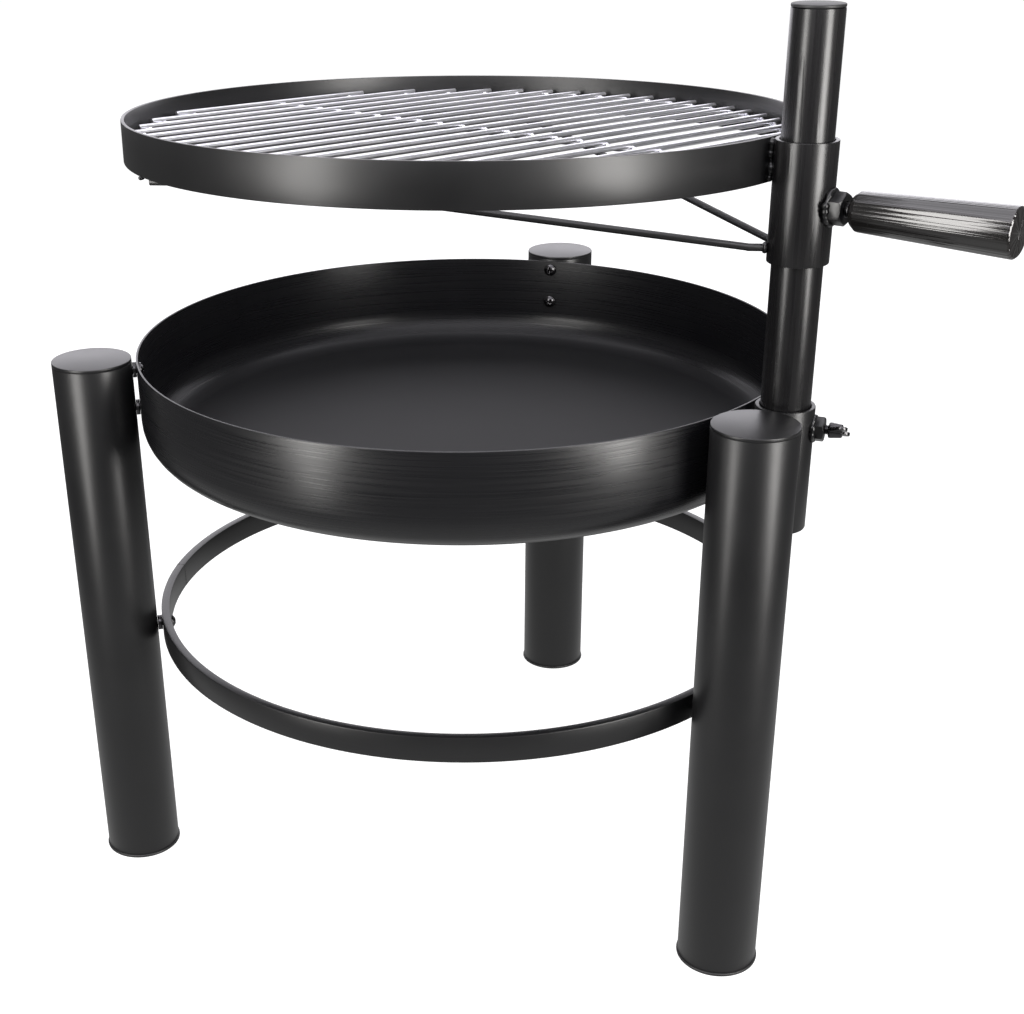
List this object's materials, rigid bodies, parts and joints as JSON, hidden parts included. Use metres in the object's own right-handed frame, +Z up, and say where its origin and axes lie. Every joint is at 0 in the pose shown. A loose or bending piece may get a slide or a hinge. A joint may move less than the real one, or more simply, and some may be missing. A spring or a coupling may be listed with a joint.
{
  "type": "fire pit with swivel grate",
  "caption": "Round steel fire bowl on tubular legs tied by a low ring, with a mast beside one leg that carries a height-adjustable, swivelling hoop with a loose chrome cooking grid.",
  "frame": {"origin": "on the ground, under the middle of the object's box", "axes": "+Z up, +X from the bowl's axis to the mast, +Y across"},
  "size_m": [0.7952, 0.6614, 0.812],
  "materials": {
    "satin_black_paint": "satin heat-resistant black paint on steel",
    "gloss_black_paint": "semi-gloss black paint on steel tube",
    "bowl_black_paint": "fine matt black stove paint on spun sheet",
    "black_plastic": "moulded black polyethylene, fine texture",
    "blackened_steel": "black-passivated steel",
    "chrome_plate": "bright chrome plate over wire",
    "lacquered_wood": "turned wood under glossy black lacquer"
  },
  "bodies": {
    "root": {"mast_leg_tube": "satin_black_paint", "mast_leg_top_cap": "satin_black_paint", "mast_leg_foot_plug": "black_plastic", "mast_leg_bowl_lower_screw": "blackened_steel", "mast_leg_bowl_lower_spacer": "blackened_steel", "mast_leg_bowl_upper_screw": "blackened_steel", "mast_leg_bowl_upper_spacer": "blackened_steel", "mast_leg_ring_screw": "blackened_steel", "mast_leg_ring_spacer": "blackened_steel", "back_leg_tube": "satin_black_paint", "back_leg_top_cap": "satin_black_paint", "back_leg_foot_plug": "black_plastic", "back_leg_bowl_lower_screw": "blackened_steel", "back_leg_bowl_lower_spacer": "blackened_steel", "back_leg_bowl_upper_screw": "blackened_steel", "back_leg_bowl_upper_spacer": "blackened_steel", "back_leg_ring_screw": "blackened_steel", "back_leg_ring_spacer": "blackened_steel", "left_leg_tube": "satin_black_paint", "left_leg_top_cap": "satin_black_paint", "left_leg_foot_plug": "black_plastic", "left_leg_bowl_lower_screw": "blackened_steel", "left_leg_bowl_lower_spacer": "blackened_steel", "left_leg_bowl_upper_screw": "blackened_steel", "left_leg_bowl_upper_spacer": "blackened_steel", "left_leg_ring_screw": "blackened_steel", "left_leg_ring_spacer": "blackened_steel", "fire_bowl": "bowl_black_paint", "lower_ring": "satin_black_paint", "mast_socket_tube": "satin_black_paint", "mast_socket_floor": "satin_black_paint", "wing_boss_nut": "satin_black_paint", "mast_socket_lower_screw": "blackened_steel", "mast_socket_lower_spacer": "blackened_steel", "mast_socket_upper_screw": "blackened_steel", "mast_socket_upper_spacer": "blackened_steel"},
    "mast_base": {"mast_bottom_plug": "black_plastic"},
    "mast": {"mast_tube": "gloss_black_paint", "mast_top_plug": "black_plastic"},
    "grate_arm": {"collar_tube": "gloss_black_paint", "collar_nut": "satin_black_paint", "grate_hoop": "satin_black_paint", "brace_left": "satin_black_paint", "brace_right": "satin_black_paint", "grid_rest_lug_1": "satin_black_paint", "grid_rest_lug_2": "satin_black_paint", "grid_rest_lug_3": "satin_black_paint", "grid_rest_lug_4": "satin_black_paint"},
    "clamp_stud": {"clamp_stud": "blackened_steel"},
    "grip": {"grip": "lacquered_wood"},
    "cooking_grid": {"cooking_grid": "chrome_plate"},
    "wing_stud": {"wing_stud": "blackened_steel"},
    "wing_head": {"wing_head": "blackened_steel"}
  },
  "joints": [
    {"name": "mast_lift", "type": "slide", "parent": "root", "child": "mast_base", "axis": [0, 0, 1], "range_m": [0, 0.11]},
    {"name": "mast_swivel", "type": "hinge", "parent": "mast_base", "child": "mast", "pos_m": [0.2294, -0.02408, 0.45], "axis": [0, 0, 1], "continuous": true},
    {"name": "grate_lift", "type": "slide", "parent": "mast", "child": "grate_arm", "axis": [0, 0, 1], "range_m": [-0.112, 0.095]},
    {"name": "grid_lift_out", "type": "slide", "parent": "grate_arm", "child": "cooking_grid", "axis": [-0.0145, 0.0306, 0.9994], "range_m": [0, 0.12]},
    {"name": "clamp_travel", "type": "slide", "parent": "grate_arm", "child": "clamp_stud", "axis": [0.9999, -0.0122, 0], "range_m": [0, 0.0036]},
    {"name": "grip_turn", "type": "hinge", "parent": "clamp_stud", "child": "grip", "pos_m": [0.2894, -0.02481, 0.6675], "axis": [0.9999, -0.0122, 0], "range_deg": [0, 720]},
    {"name": "wing_travel", "type": "slide", "parent": "root", "child": "wing_stud", "axis": [0.9521, 0.3057, 0], "range_m": [0, 0.0025]},
    {"name": "wing_turn", "type": "hinge", "parent": "wing_stud", "child": "wing_head", "pos_m": [0.26749, -0.01185, 0.489], "axis": [0.9521, 0.3057, 0], "range_deg": [0, 720]}
  ],
  "couplings": [
    {"joint": "clamp_travel", "follows": "grip_turn", "m_per_rad": 0.00027852},
    {"joint": "wing_turn", "follows": "wing_travel", "rad_per_m": 5026.5}
  ]
}
